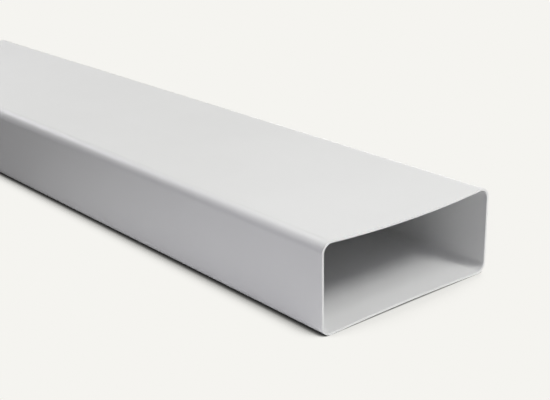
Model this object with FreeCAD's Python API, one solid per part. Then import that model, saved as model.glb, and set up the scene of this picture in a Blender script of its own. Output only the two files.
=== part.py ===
import FreeCAD, Part
import math
import os

# Flat channel duct: one straight length of rigid PVC ventilation channel.
# It is pushed through a die in one piece, so its wall is equally thick all the way round, and it
# is sawn square at both ends. The wide walls have drawn in a little on cooling, the top one most,
# and each runs smoothly into the round corners. The frame has its origin on the floor under the
# middle of the duct, +X along the duct, +Y across its width and +Z up. Sizes are in millimetres.

# Driving dimensions
DUCT_LENGTH = 1000.0  # between the sawn ends
DUCT_WIDTH = 220.0  # over the outside of the side walls
DUCT_HEIGHT = 90.0  # from the floor to the crowns of the top corners
WALL_THICKNESS = 2.2
CORNER_RADIUS = 11.0  # on the outside of the corners
TOP_SAG = 4.0  # middle of the top wall below the crowns of its corners
BASE_RISE = 1.6  # middle of the base wall above the floor

STRAIGHT = 0.0  # the bow of a wall that stays flat, as the side walls do
QUARTER_TURN = math.pi / 2


def section_point(y, z):
    """A point of the section, in the plane of the duct's first sawn end."""
    return FreeCAD.Vector(-DUCT_LENGTH / 2, y, z)


def corner_lean(bow, half_span):
    """How far a corner's arc runs on past square to meet a bowed wall without a kink.

    The wall is an arc too. It bows inwards by bow, between corner arcs whose centres are two
    half_spans apart.
    """
    return 2 * math.atan(bow / half_span)


def corner_arc(centre_y, centre_z, radius, start, end):
    """First, middle and last point of a corner's arc, anticlockwise seen from the +X end."""
    angles = (start, (start + end) / 2, end)
    return [
        section_point(centre_y + radius * math.cos(a), centre_z + radius * math.sin(a))
        for a in angles
    ]


def wall_edge(start, middle, end, bow):
    """The edge of one wall, between the arcs of its two corners."""
    if bow == STRAIGHT:
        return Part.LineSegment(start, end).toShape()
    return Part.Arc(start, middle, end).toShape()


def section_outline(inset):
    """Closed outline of the section, moved in from the outside surface by inset.

    Arcs of both outlines share their centres, so the wall between them has one thickness.
    """
    half_width = DUCT_WIDTH / 2
    half_height = DUCT_HEIGHT / 2
    across = half_width - CORNER_RADIUS
    upright = half_height - CORNER_RADIUS
    low = CORNER_RADIUS
    high = DUCT_HEIGHT - CORNER_RADIUS

    # Corner centres, anticlockwise from the base at -Y, each with the wall that follows it:
    # its bow, half its span between corner centres, and its middle point.
    corners = ((-across, low), (across, low), (across, high), (-across, high))
    walls = (
        (BASE_RISE, across, section_point(0, BASE_RISE + inset)),
        (STRAIGHT, upright, section_point(half_width - inset, half_height)),
        (TOP_SAG, across, section_point(0, DUCT_HEIGHT - TOP_SAG - inset)),
        (STRAIGHT, upright, section_point(inset - half_width, half_height)),
    )

    leans = [corner_lean(bow, half_span) for bow, half_span, middle in walls]
    arcs = []
    for i, (y, z) in enumerate(corners):
        start = (i + 2) * QUARTER_TURN - leans[i - 1]
        end = (i + 3) * QUARTER_TURN + leans[i]
        arcs.append(corner_arc(y, z, CORNER_RADIUS - inset, start, end))

    edges = []
    for i, (bow, half_span, middle) in enumerate(walls):
        next_arc = arcs[(i + 1) % len(arcs)]
        edges.append(Part.Arc(*arcs[i]).toShape())
        edges.append(wall_edge(arcs[i][-1], middle, next_arc[0], bow))
    return Part.Wire(edges)


def duct_channel():
    """The duct: its hollow section, drawn out over its length."""
    outlines = [section_outline(0), section_outline(WALL_THICKNESS)]
    section = Part.makeFace(outlines, "Part::FaceMakerBullseye")
    return section.extrude(FreeCAD.Vector(DUCT_LENGTH, 0, 0))


os.makedirs("parts", exist_ok=True)
duct_channel().exportStep("parts/duct_channel.step")
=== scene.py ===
import bpy
import math
from mathutils import Matrix, Vector, noise


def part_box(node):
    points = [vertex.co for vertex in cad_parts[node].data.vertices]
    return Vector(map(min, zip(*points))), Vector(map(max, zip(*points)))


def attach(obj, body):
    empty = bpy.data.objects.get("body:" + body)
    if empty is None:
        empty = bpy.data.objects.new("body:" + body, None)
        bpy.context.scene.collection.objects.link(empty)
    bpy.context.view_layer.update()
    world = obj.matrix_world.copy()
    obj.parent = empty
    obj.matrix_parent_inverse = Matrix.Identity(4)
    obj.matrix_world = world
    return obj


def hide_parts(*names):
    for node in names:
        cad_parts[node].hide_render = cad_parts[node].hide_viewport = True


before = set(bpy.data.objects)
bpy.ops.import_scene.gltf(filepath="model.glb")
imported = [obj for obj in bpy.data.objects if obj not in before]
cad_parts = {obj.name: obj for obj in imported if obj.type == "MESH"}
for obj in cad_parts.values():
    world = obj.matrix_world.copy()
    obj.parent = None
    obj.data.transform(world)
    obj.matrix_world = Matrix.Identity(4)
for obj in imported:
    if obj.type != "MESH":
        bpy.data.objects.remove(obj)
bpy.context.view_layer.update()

# The duct: one straight length of flat ventilation channel, in rigid PVC of one even thickness.
# The soft plastic is pushed through a die and drawn along a cooling bath, where the wide walls sink
# in a little between the round corners, and the channel is then sawn square to length.
duct_low, duct_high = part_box("duct_channel")
WALL = 0.0022
CORNER_RADIUS = 0.0110  # on the outside
TOP_SAG = 0.0040  # middle of the top wall below the crowns of its corners
BASE_RISE = 0.0016  # middle of the base wall above the floor
EDGE_BREAK = 0.0003  # radius left on the edges of the sawn ends
WAVE_DEPTH = 0.00012  # how far the cooled walls wander in and out
WAVE_SPACING = 0.11
SAW_WANDER = 0.00008  # how far the sawn ends are out of true
SAW_SPACING = 0.012
CORNER_STEPS = 14
WIDE_WALL_STEPS = 36
SIDE_WALL_STEPS = 14
LENGTH_STEPS = 110
EDGE_STEPS = 4


def arc_stretch(centre, radius, start, end, steps):
    """Points along an arc of the section, each with the direction out of the duct there.

    A wall that bows inwards has a negative radius and its centre outside the duct. The last point
    is left to the next stretch, which begins with it.
    """
    turns = [start + (end - start) * i / steps for i in range(steps)]
    outwards = [Vector((0, math.cos(t), math.sin(t))) for t in turns]
    return [(centre + radius * outward, outward) for outward in outwards]


def straight_stretch(start, end, outward, steps):
    """Points along a straight wall of the section, each with the direction out of the duct."""
    return [(start.lerp(end, i / steps), outward) for i in range(steps)]


def wide_wall(bow, corner_centre, facing):
    """Lean of the corner arcs that run on into a bowed wide wall, and the wall's own stretch.

    The wall faces the angle facing, and corner_centre is the centre of the corner before it.
    """
    half_span = abs(corner_centre.y)
    lean = 2 * math.atan(bow / half_span)
    centre_distance = half_span / math.sin(lean)
    out = Vector((0, 0, math.sin(facing)))
    wall_centre = Vector((0, 0, corner_centre.z)) + out * centre_distance * math.cos(lean)
    wall_radius = CORNER_RADIUS - centre_distance
    stretch = arc_stretch(wall_centre, wall_radius, facing + lean, facing - lean, WIDE_WALL_STEPS)
    return lean, stretch


def duct_section():
    """The outside of the section, anticlockwise from the base, as points with outward directions."""
    across = duct_high.y - CORNER_RADIUS
    low = duct_low.z + CORNER_RADIUS
    high = duct_high.z - CORNER_RADIUS
    base_left, base_right = Vector((0, -across, low)), Vector((0, across, low))
    top_right, top_left = Vector((0, across, high)), Vector((0, -across, high))
    right, up, left, down = (i * math.pi / 2 for i in range(4))
    full_turn = 2 * math.pi
    base_lean, base_wall = wide_wall(BASE_RISE, base_left, down)
    top_lean, top_wall = wide_wall(TOP_SAG, top_right, up)
    outward = Vector((0, CORNER_RADIUS, 0))
    to_right, to_left = Vector((0, 1, 0)), Vector((0, -1, 0))
    return (
        arc_stretch(base_left, CORNER_RADIUS, left, down + base_lean, CORNER_STEPS)
        + base_wall
        + arc_stretch(base_right, CORNER_RADIUS, down - base_lean, full_turn, CORNER_STEPS)
        + straight_stretch(base_right + outward, top_right + outward, to_right, SIDE_WALL_STEPS)
        + arc_stretch(top_right, CORNER_RADIUS, right, up + top_lean, CORNER_STEPS)
        + top_wall
        + arc_stretch(top_left, CORNER_RADIUS, up - top_lean, left, CORNER_STEPS)
        + straight_stretch(top_left - outward, base_left - outward, to_left, SIDE_WALL_STEPS)
    )


def rim_profile():
    """Steps over a rim, outside first, as distances back from the saw cut and in from the outside."""
    quarter = [i / EDGE_STEPS * math.pi / 2 for i in range(EDGE_STEPS + 1)]
    outer = [(EDGE_BREAK * (1 - math.sin(a)), EDGE_BREAK * (1 - math.cos(a))) for a in quarter]
    inner = [(back, WALL - inset) for back, inset in reversed(outer)]
    return outer + inner


def wall_loop():
    """The whole wall as a closed loop of rings: outside, front rim, inside and the rim behind.

    Each ring has its place along the duct, its distance in from the outside, and whether the faces
    from it to the next ring are sawn.
    """
    rim = rim_profile()
    last = len(rim) - 1
    run = duct_high.x - duct_low.x - 2 * EDGE_BREAK
    along = [EDGE_BREAK + run * i / LENGTH_STEPS for i in range(1, LENGTH_STEPS)]
    outside = [(duct_low.x + x, 0.0, False) for x in along]
    front = [(duct_high.x - back, inset, i < last) for i, (back, inset) in enumerate(rim)]
    inside = [(duct_high.x - x, WALL, False) for x in along]
    behind = [(duct_low.x + back, inset, i < last) for i, (back, inset) in enumerate(reversed(rim))]
    return outside + front + inside + behind


def make_duct():
    """The duct's mesh, a closed grid of rings along the wall and points round the section."""
    section = duct_section()
    rings = wall_loop()
    points = []
    for x, inset, sawn in rings:
        for place, outward in section:
            outside = Vector((x, place.y, place.z))
            wave = WAVE_DEPTH * noise.noise(outside / WAVE_SPACING)
            wander = SAW_WANDER * noise.noise(outside / SAW_SPACING) if sawn else 0.0
            points.append(outside - outward * (inset + wave) - Vector((wander, 0, 0)))
    faces = []
    sawn_faces = []
    for i in range(len(rings)):
        ring, next_ring = i * len(section), (i + 1) % len(rings) * len(section)
        for j in range(len(section)):
            k = (j + 1) % len(section)
            faces.append((ring + j, ring + k, next_ring + k, next_ring + j))
            sawn_faces.append(rings[i][2])
    mesh = bpy.data.meshes.new("duct")
    mesh.from_pydata(points, [], faces)
    mesh.polygons.foreach_set("material_index", [int(sawn) for sawn in sawn_faces])
    mesh.shade_smooth()
    mesh.validate()
    piece = bpy.data.objects.new("duct", mesh)
    piece.modifiers.new("flat_walls", "WEIGHTED_NORMAL")
    bpy.context.scene.collection.objects.link(piece)
    return piece


def find_socket(sockets, name):
    """The socket at an index, or the one of a name that is in use where a node has several."""
    if isinstance(name, int):
        return sockets[name]
    return next(s for s in sockets if s.name == name and s.enabled)


def add_node(tree, kind, inputs=None, **settings):
    """A new shader node. An input is a plain value, or the socket of another node to take it from."""
    made = tree.nodes.new(kind)
    for name, value in settings.items():
        setattr(made, name, value)
    for name, value in (inputs or {}).items():
        target = find_socket(made.inputs, name)
        if isinstance(value, bpy.types.NodeSocket):
            tree.links.new(value, target)
        else:
            target.default_value = value
    return made


def reckon(tree, operation, *values):
    """The result of a sum on plain values and sockets."""
    return add_node(tree, "ShaderNodeMath", dict(enumerate(values)), operation=operation).outputs[0]


def spread_range(tree, value, start, end, low, high):
    """A value that runs from low to high while the one given runs from start to end."""
    limits = {"Value": value, "From Min": start, "From Max": end, "To Min": low, "To Max": high}
    return find_socket(add_node(tree, "ShaderNodeMapRange", limits).outputs, "Result")


def noise_value(tree, place, spacing, detail):
    """Soft random values from 0 to 1, about spacing apart."""
    inputs = {"Vector": place, "Scale": 1 / spacing, "Detail": detail}
    return add_node(tree, "ShaderNodeTexNoise", inputs).outputs["Fac"]


def new_material(name):
    """An empty material, its node tree and its output node."""
    made = bpy.data.materials.new(name)
    made.use_nodes = True
    made.node_tree.nodes.clear()
    return made, made.node_tree, add_node(made.node_tree, "ShaderNodeOutputMaterial")


def new_group(name, inputs, outputs):
    """An empty shader node group with named sockets, and its input and output nodes."""
    group = bpy.data.node_groups.new(name, "ShaderNodeTree")
    for label, kind in inputs.items():
        group.interface.new_socket(label, in_out="INPUT", socket_type=kind)
    for label, kind in outputs.items():
        group.interface.new_socket(label, in_out="OUTPUT", socket_type=kind)
    return group, add_node(group, "NodeGroupInput"), add_node(group, "NodeGroupOutput")


PVC_COLOUR = (0.752, 0.755, 0.76, 1.0)
SCUFF_COLOUR = (0.825, 0.828, 0.83, 1.0)
PVC_IOR = 1.53
NOISE_SPAN = (0.3, 0.7)  # where most values of a noise lie
CLOUD_SPACING = 0.13
CLOUD_DETAIL = 4.0
SKIN_CLOUDING = 0.012
SATIN = (0.40, 0.45)  # roughness between and along the die lines
LINE_DETAIL = 3.0
DIE_LINE_SPACING = 0.0014
DIE_LINE_RUN = 500.0
DIE_LINE_DEPTH = 0.000006
GRAIN_SIZE = 0.00045
GRAIN_DEPTH = 0.0000025
SCUFF_SPACING = 0.0006
SCUFF_RUN = 45.0
SCUFF_SLANT = math.radians(7)  # of the scuffs to the length of the duct
SCUFF_EDGE = (0.66, 0.78)  # heights of the streaks at which a scuff begins and is full
SCUFF_COVER = 0.4  # share of its own colour that a full scuff has
SCUFF_DULLING = 0.10  # roughness that a full scuff adds
PATCH_SPACING = 0.09
PATCH_DETAIL = 2.0
PATCH_SPAN = (0.45, 0.75)  # noise of the cleanest and the most scuffed patches
PATCH_RAISE = (-0.1, 0.06)  # height that those patches add to the streaks
WORN_WIDTH = 0.0035  # of the skin beside a saw cut that the saw has scuffed
WORN_RAISE = 0.3  # height that the cut adds to the streaks at its edge


def make_fine_lines():
    """Fine broken lines along the X of Place, as a height from 0 to 1.

    They are Spacing apart, and each is about Run times as long as that.
    """
    sockets = {"Place": "NodeSocketVector", "Spacing": "NodeSocketFloat", "Run": "NodeSocketFloat"}
    group, given, result = new_group("fine_lines", sockets, {"Height": "NodeSocketFloat"})
    across = reckon(group, "DIVIDE", 1.0, given.outputs["Spacing"])
    along = reckon(group, "DIVIDE", across, given.outputs["Run"])
    stretch = add_node(group, "ShaderNodeCombineXYZ", {"X": along, "Y": across, "Z": across})
    place = add_node(group, "ShaderNodeVectorMath", {
        0: given.outputs["Place"],
        1: stretch.outputs["Vector"],
    }, operation="MULTIPLY")
    height = noise_value(group, place.outputs["Vector"], 1.0, LINE_DETAIL)
    group.links.new(height, result.inputs["Height"])
    return group


def make_pigment_cloud():
    """The faint unevenness of the pigment: Colour made up to Amount lighter or darker in clouds."""
    sockets = {"Place": "NodeSocketVector", "Colour": "NodeSocketColor", "Amount": "NodeSocketFloat"}
    group, given, result = new_group("pigment_cloud", sockets, {"Colour": "NodeSocketColor"})
    cloud = noise_value(group, given.outputs["Place"], CLOUD_SPACING, CLOUD_DETAIL)
    lightest = reckon(group, "ADD", 1.0, given.outputs["Amount"])
    darkest = reckon(group, "SUBTRACT", 1.0, given.outputs["Amount"])
    shaded = add_node(group, "ShaderNodeHueSaturation", {
        "Color": given.outputs["Colour"],
        "Value": spread_range(group, cloud, *NOISE_SPAN, darkest, lightest),
    })
    group.links.new(shaded.outputs["Color"], result.inputs["Colour"])
    return group


def make_plastic_grain():
    """The fine grain of the plastic, as a height from 0 to 1, with grains of about Size."""
    sockets = {"Place": "NodeSocketVector", "Size": "NodeSocketFloat"}
    group, given, result = new_group("plastic_grain", sockets, {"Height": "NodeSocketFloat"})
    scale = reckon(group, "DIVIDE", 1.0, given.outputs["Size"])
    grain = add_node(group, "ShaderNodeTexNoise", {"Vector": given.outputs["Place"], "Scale": scale})
    group.links.new(grain.outputs["Fac"], result.inputs["Height"])
    return group


fine_lines = make_fine_lines()
pigment_cloud = make_pigment_cloud()
plastic_grain = make_plastic_grain()


def scuff_mask(tree, place):
    """Where the skin is scuffed: in thin short streaks here and there, and close to the saw cuts."""
    turned = add_node(tree, "ShaderNodeMapping", {"Vector": place, "Rotation": (SCUFF_SLANT,) * 3})
    streaks = add_node(tree, "ShaderNodeGroup", {
        "Place": turned.outputs["Vector"],
        "Spacing": SCUFF_SPACING,
        "Run": SCUFF_RUN,
    }, node_tree=fine_lines).outputs["Height"]
    patches = noise_value(tree, place, PATCH_SPACING, PATCH_DETAIL)
    along = add_node(tree, "ShaderNodeSeparateXYZ", {"Vector": place}).outputs["X"]
    from_middle = reckon(tree, "ABSOLUTE", along)
    patch = spread_range(tree, patches, *PATCH_SPAN, *PATCH_RAISE)
    worn = spread_range(tree, from_middle, duct_high.x - WORN_WIDTH, duct_high.x, 0.0, WORN_RAISE)
    raised = reckon(tree, "ADD", streaks, reckon(tree, "ADD", patch, worn))
    return spread_range(tree, raised, *SCUFF_EDGE, 0.0, 1.0)


def pvc_skin():
    """The drawn surface: satin, with faint lines along the duct from the lips of the die."""
    made, tree, output = new_material("pvc_skin")
    place = add_node(tree, "ShaderNodeTexCoord").outputs["Object"]
    clouded = add_node(tree, "ShaderNodeGroup", {
        "Place": place,
        "Colour": PVC_COLOUR,
        "Amount": SKIN_CLOUDING,
    }, node_tree=pigment_cloud).outputs["Colour"]
    die_lines = add_node(tree, "ShaderNodeGroup", {
        "Place": place,
        "Spacing": DIE_LINE_SPACING,
        "Run": DIE_LINE_RUN,
    }, node_tree=fine_lines).outputs["Height"]
    grain = add_node(tree, "ShaderNodeGroup", {
        "Place": place,
        "Size": GRAIN_SIZE,
    }, node_tree=plastic_grain).outputs["Height"]
    scuffed = scuff_mask(tree, place)
    colour = add_node(tree, "ShaderNodeMix", {
        "Factor": reckon(tree, "MULTIPLY", scuffed, SCUFF_COVER),
        "A": clouded,
        "B": SCUFF_COLOUR,
    }, data_type="RGBA")
    satin = spread_range(tree, die_lines, *NOISE_SPAN, *SATIN)
    height = reckon(tree, "MULTIPLY_ADD", grain, GRAIN_DEPTH / DIE_LINE_DEPTH, die_lines)
    bump = add_node(tree, "ShaderNodeBump", {"Height": height, "Distance": DIE_LINE_DEPTH})
    shader = add_node(tree, "ShaderNodeBsdfPrincipled", {
        "Base Color": find_socket(colour.outputs, "Result"),
        "Roughness": reckon(tree, "MULTIPLY_ADD", scuffed, SCUFF_DULLING, satin),
        "IOR": PVC_IOR,
        "Normal": bump.outputs["Normal"],
    })
    tree.links.new(shader.outputs["BSDF"], output.inputs["Surface"])
    return made


# Paler than the skin: partly the whitening of sawn plastic, partly a painted highlight on the rims.
SAWN_COLOUR_AND_RIM_HIGHLIGHT = (0.87, 0.872, 0.875, 1.0)
SAWN_CLOUDING = 0.03
SAWN_DULLNESS = (0.55, 0.72)  # roughness between and along the saw marks
SAW_MARK_SPACING = 0.0007
SAW_MARK_RUN = 9.0
SAW_MARK_DEPTH = 0.00003
SAW_MARK_TURN = (0, math.radians(90), math.radians(14))  # marks that run nearly upright
SAWN_GRAIN_SIZE = 0.00025
SAWN_GRAIN_DEPTH = 0.00001


def sawn_pvc():
    """The sawn ends: dull, with the marks of the saw's teeth, and a little paler than the skin,
    partly from the whitening of sawn plastic and partly as a painted highlight on the rims.
    """
    made, tree, output = new_material("sawn_pvc")
    place = add_node(tree, "ShaderNodeTexCoord").outputs["Object"]
    clouded = add_node(tree, "ShaderNodeGroup", {
        "Place": place,
        "Colour": SAWN_COLOUR_AND_RIM_HIGHLIGHT,
        "Amount": SAWN_CLOUDING,
    }, node_tree=pigment_cloud).outputs["Colour"]
    turned = add_node(tree, "ShaderNodeMapping", {"Vector": place, "Rotation": SAW_MARK_TURN})
    marks = add_node(tree, "ShaderNodeGroup", {
        "Place": turned.outputs["Vector"],
        "Spacing": SAW_MARK_SPACING,
        "Run": SAW_MARK_RUN,
    }, node_tree=fine_lines).outputs["Height"]
    grain = add_node(tree, "ShaderNodeGroup", {
        "Place": place,
        "Size": SAWN_GRAIN_SIZE,
    }, node_tree=plastic_grain).outputs["Height"]
    height = reckon(tree, "MULTIPLY_ADD", grain, SAWN_GRAIN_DEPTH / SAW_MARK_DEPTH, marks)
    bump = add_node(tree, "ShaderNodeBump", {"Height": height, "Distance": SAW_MARK_DEPTH})
    shader = add_node(tree, "ShaderNodeBsdfPrincipled", {
        "Base Color": clouded,
        "Roughness": spread_range(tree, marks, *NOISE_SPAN, *SAWN_DULLNESS),
        "IOR": PVC_IOR,
        "Normal": bump.outputs["Normal"],
    })
    tree.links.new(shader.outputs["BSDF"], output.inputs["Surface"])
    return made


duct = make_duct()
duct.data.materials.append(pvc_skin())
duct.data.materials.append(sawn_pvc())
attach(duct, "root")
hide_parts("duct_channel")

# The floor: a plain pale studio sweep, not part of the duct. It is seen as one flat tone that darkens
# only where the duct closes it in. For the lamps it is a white card under the open end, on dark
# ground, which throws light back up on the near side.
BACKDROP = (0.913, 0.905, 0.871, 1.0)
FLOOR_SIZE = 12.0
SHADOW_SAMPLES = 24
TO_KEY = Vector((0.5, 0.35, 0.8)).normalized()
CONTACT_REACH = 0.03
# Each open share of the floor's view towards the key, with the share of its tone that is left there.
CONTACT_TONES = ((0.12, 0.03), (0.23, 0.08), (0.38, 0.32), (0.5, 0.76), (0.6, 0.945), (0.75, 1.0))
TO_REAR = Vector((-0.6, 0, 0.8))
REAR_REACH = 0.2
REAR_OPEN = (0.31, 0.49)  # open shares where the shade is full and where it ends
REAR_TONES = (0.85, 1.0)
UPRIGHT = Vector((0, 0, 1))
GAP_REACH = 0.008
GAP_OPEN = (0.1, 0.6)  # open shares where the gap is darkest and where it ends
GAP_TONES = (0.25, 1.0)
CARD_CENTRE = Vector((0.75, 0.0, 0.0))
CARD_RADII = Vector((0.85, 0.40, 1.0))
CARD_EDGE = (0.85, 1.15)  # where the card fades out, as shares of its radii
CARD_ALBEDO = 0.9
GROUND_ALBEDO = 0.08


def seen_rays(tree):
    """1 for the rays that show a surface to the camera, directly or in a reflection, and else 0."""
    path = add_node(tree, "ShaderNodeLightPath").outputs
    mirrored = reckon(tree, "MAXIMUM", path["Is Glossy Ray"], path["Is Transmission Ray"])
    return reckon(tree, "MAXIMUM", path["Is Camera Ray"], mirrored)


def open_share(tree, reach, facing):
    """How much of the half space that faces one way is clear of the duct, out to reach."""
    way = add_node(tree, "ShaderNodeCombineXYZ", dict(enumerate(facing)))
    return add_node(tree, "ShaderNodeAmbientOcclusion", {
        "Distance": reach,
        "Normal": way.outputs["Vector"],
    }, samples=SHADOW_SAMPLES).outputs["AO"]


def floor_tone(tree):
    """The floor as it is seen: the backdrop's tone, darker where the duct shades it from the lamps.

    The shade from the key is short and deep, the one from the lamps behind is faint and wide, and
    the narrow gap under the duct is darkest.
    """
    contact = add_node(tree, "ShaderNodeValToRGB", {"Fac": open_share(tree, CONTACT_REACH, TO_KEY)})
    stops = contact.color_ramp.elements
    while len(stops) < len(CONTACT_TONES):
        stops.new(1.0)
    for stop, (position, share) in zip(stops, CONTACT_TONES):
        stop.position = position
        stop.color = (BACKDROP[0] * share, BACKDROP[1] * share, BACKDROP[2] * share, 1.0)
    rear = spread_range(tree, open_share(tree, REAR_REACH, TO_REAR), *REAR_OPEN, *REAR_TONES)
    gap = spread_range(tree, open_share(tree, GAP_REACH, UPRIGHT), *GAP_OPEN, *GAP_TONES)
    shaded = add_node(tree, "ShaderNodeHueSaturation", {
        "Color": contact.outputs["Color"],
        "Value": reckon(tree, "MULTIPLY", rear, gap),
    })
    return shaded.outputs["Color"]


def card_albedo(tree):
    """How much of the light that falls on the floor comes back: most on the card, less beyond it."""
    place = add_node(tree, "ShaderNodeNewGeometry").outputs["Position"]
    from_centre = add_node(tree, "ShaderNodeVectorMath", {
        0: place,
        1: CARD_CENTRE,
    }, operation="SUBTRACT")
    share = add_node(tree, "ShaderNodeVectorMath", {
        0: from_centre.outputs["Vector"],
        1: CARD_RADII,
    }, operation="DIVIDE")
    length = add_node(tree, "ShaderNodeVectorMath", {0: share.outputs["Vector"]}, operation="LENGTH")
    return spread_range(tree, length.outputs["Value"], *CARD_EDGE, CARD_ALBEDO, GROUND_ALBEDO)


def studio_floor():
    """The floor's material: its seen tone, and for other rays a plain matt card."""
    made, tree, output = new_material("studio_floor")
    seen = add_node(tree, "ShaderNodeEmission", {"Color": floor_tone(tree)})
    card = add_node(tree, "ShaderNodeBsdfDiffuse", {"Color": card_albedo(tree)})
    mix = add_node(tree, "ShaderNodeMixShader", {
        0: seen_rays(tree),
        1: card.outputs["BSDF"],
        2: seen.outputs["Emission"],
    })
    tree.links.new(mix.outputs["Shader"], output.inputs["Surface"])
    return made


bpy.ops.mesh.primitive_plane_add(size=FLOOR_SIZE)
floor = bpy.context.object
floor.name = "floor"
floor.data.materials.append(studio_floor())

# The backdrop: the pale wall of the studio, far off. It is only seen, directly or as a sheen on the
# plastic, and the lamps alone light the duct.
world = bpy.data.worlds.new("studio")
world.use_nodes = True
world.node_tree.nodes.clear()
wall = add_node(world.node_tree, "ShaderNodeBackground", {
    "Color": BACKDROP,
    "Strength": seen_rays(world.node_tree),
})
wall_output = add_node(world.node_tree, "ShaderNodeOutputWorld")
world.node_tree.links.new(wall.outputs["Background"], wall_output.inputs["Surface"])
bpy.context.scene.world = world

# The lamps: soft boxes on stands. The key and two weaker ones look into the open end from the front,
# one hangs over the far half, one behind it skims the near corner, and three low ones fill the sides.
WARM_WHITE = (1.0, 1.0, 0.97)
COOL_WHITE = (0.93, 0.915, 1.0)
FRONT_SIZE = (0.4, 0.4)
open_end = (duct_high.x, 0, 0.05)


def softbox(name, place, aim, size, watts, tint):
    """A rectangular lamp that shines from place towards aim and isn't seen itself."""
    lamp = bpy.data.lights.new(name, "AREA")
    lamp.shape = "RECTANGLE"
    lamp.size, lamp.size_y = size
    lamp.energy = watts
    lamp.color = tint
    stand = bpy.data.objects.new(name, lamp)
    stand.location = place
    stand.rotation_euler = (Vector(aim) - Vector(place)).to_track_quat("-Z", "Y").to_euler()
    stand.visible_camera = False
    bpy.context.scene.collection.objects.link(stand)


softbox("key_softbox", (1.4, 0.35, 1.3), open_end, FRONT_SIZE, 13.0, WARM_WHITE)
softbox("high_softbox", (0.95, 0.35, 1.3), open_end, FRONT_SIZE, 4.9, WARM_WHITE)
softbox("front_softbox", (1.7, 0.0, 1.3), open_end, FRONT_SIZE, 2.8, COOL_WHITE)
softbox("top_softbox", (-0.42, 0.0, 1.2), (-0.3, 0, 0), (0.8, 0.6), 6.1, WARM_WHITE)
softbox("back_softbox", (-1.3, -0.25, 1.0), (0, 0, 0.05), (0.5, 0.5), 4.2, COOL_WHITE)
softbox("near_side_fill", (0.5, -0.6, 0.12), (0.5, 0, 0.04), (0.4, 0.2), 0.64, COOL_WHITE)
softbox("rear_side_fill", (-0.55, -0.4, 0.12), (-0.55, 0, 0.04), (0.5, 0.2), 0.26, COOL_WHITE)
softbox("far_side_fill", (-0.35, 0.8, 0.12), (-0.35, 0, 0.04), (0.7, 0.2), 1.0, COOL_WHITE)

# The camera: it stands in front of the open end, to one side of the duct and above it, and looks
# down along the duct.
CAMERA_FROM_MOUTH = Vector((0.63785, -0.69212, 0.44190))
HEADING = math.radians(140.233)  # from +X towards +Y
TILT_DOWN = math.radians(19.849)
ROLL = math.radians(1.002)
LENS = 71.519
SENSOR_WIDTH = 36.0
lens_data = bpy.data.cameras.new("camera")
lens_data.sensor_fit = "HORIZONTAL"
lens_data.sensor_width = SENSOR_WIDTH
lens_data.lens = LENS
camera = bpy.data.objects.new("camera", lens_data)
mouth = Vector((duct_high.x, 0, duct_low.z))
camera.matrix_world = (
    Matrix.Translation(mouth + CAMERA_FROM_MOUTH)
    @ Matrix.Rotation(HEADING - math.pi / 2, 4, "Z")
    @ Matrix.Rotation(math.pi / 2 - TILT_DOWN, 4, "X")
    @ Matrix.Rotation(-ROLL, 4, "Z")
)
bpy.context.scene.collection.objects.link(camera)
bpy.context.scene.camera = camera
bpy.context.scene.view_settings.view_transform = "Standard"
